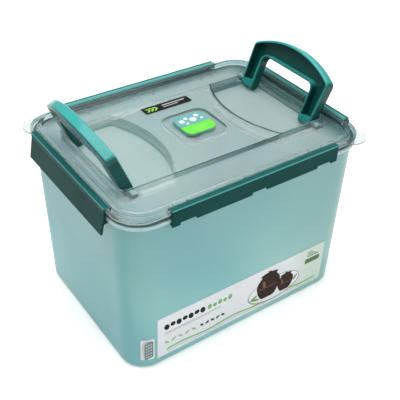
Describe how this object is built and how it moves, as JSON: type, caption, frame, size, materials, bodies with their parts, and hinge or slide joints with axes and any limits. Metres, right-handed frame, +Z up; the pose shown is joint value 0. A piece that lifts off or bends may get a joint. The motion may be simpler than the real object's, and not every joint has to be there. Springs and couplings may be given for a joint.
{
  "type": "food storage container",
  "caption": "Deep rectangular fermentation tub with a clear stepped lid, side latches, fold-down handles and a press vent valve.",
  "frame": {"origin": "middle of the tub's foot, on the surface it stands on", "axes": "+X along the long side to the right handle, +Y to the back away from the printed front label, +Z up"},
  "size_m": [0.34, 0.25, 0.2867],
  "materials": {
    "tub_plastic": "translucent",
    "lid_clear": "clear",
    "seal_silicone": "satin",
    "latch_plastic": "satin",
    "handle_plastic": "gloss",
    "valve_clear": "clear",
    "cap_plastic": "gloss",
    "inlay_plastic": "gloss",
    "stem_plastic": "matte",
    "spring_steel": "bright",
    "disc_silicone": "matte",
    "washer_steel": "bright",
    "front_print": "printed film",
    "small_print": "printed film",
    "sticker_print": "printed film"
  },
  "bodies": {
    "container": {"tub": "tub_plastic", "lid": "lid_clear", "lid_seal": "seal_silicone", "valve_collar": "valve_clear", "front_label": "front_print", "small_label": "small_print", "lid_sticker": "sticker_print"},
    "front_latch_body": {"front_latch": "latch_plastic"},
    "back_latch_body": {"back_latch": "latch_plastic"},
    "left_latch_body": {"left_latch": "latch_plastic"},
    "right_latch_body": {"right_latch": "latch_plastic"},
    "left_handle_body": {"left_handle": "handle_plastic"},
    "right_handle_body": {"right_handle": "handle_plastic"},
    "vent_button": {"valve_cap": "cap_plastic", "valve_inlay": "inlay_plastic", "valve_stem": "stem_plastic", "valve_spring": "spring_steel", "vent_disc": "disc_silicone", "stem_washer": "washer_steel"}
  },
  "joints": [
    {"name": "front_latch_hinge", "type": "hinge", "parent": "container", "child": "front_latch_body", "pos_m": [0, -0.1202, 0.2237], "axis": [-1, 0, 0], "range_deg": [0, 130]},
    {"name": "back_latch_hinge", "type": "hinge", "parent": "container", "child": "back_latch_body", "pos_m": [0, 0.1202, 0.2237], "axis": [1, 0, 0], "range_deg": [0, 130]},
    {"name": "left_latch_hinge", "type": "hinge", "parent": "container", "child": "left_latch_body", "pos_m": [-0.1608, 0, 0.2237], "axis": [0, 1, 0], "range_deg": [0, 130]},
    {"name": "right_latch_hinge", "type": "hinge", "parent": "container", "child": "right_latch_body", "pos_m": [0.1608, 0, 0.2237], "axis": [0, -1, 0], "range_deg": [0, 130]},
    {"name": "left_handle_hinge", "type": "hinge", "parent": "container", "child": "left_handle_body", "pos_m": [-0.125, 0, 0.221], "axis": [0, 1, 0], "range_deg": [0, 113]},
    {"name": "right_handle_hinge", "type": "hinge", "parent": "container", "child": "right_handle_body", "pos_m": [0.125, 0, 0.221], "axis": [0, -1, 0], "range_deg": [0, 113]},
    {"name": "vent_button_press", "type": "slide", "parent": "container", "child": "vent_button", "axis": [0, 0, -1], "range_m": [0, 0.0018], "stiffness_N_per_m": 400, "springref_m": -0.003, "deforming": ["valve_spring"]}
  ]
}
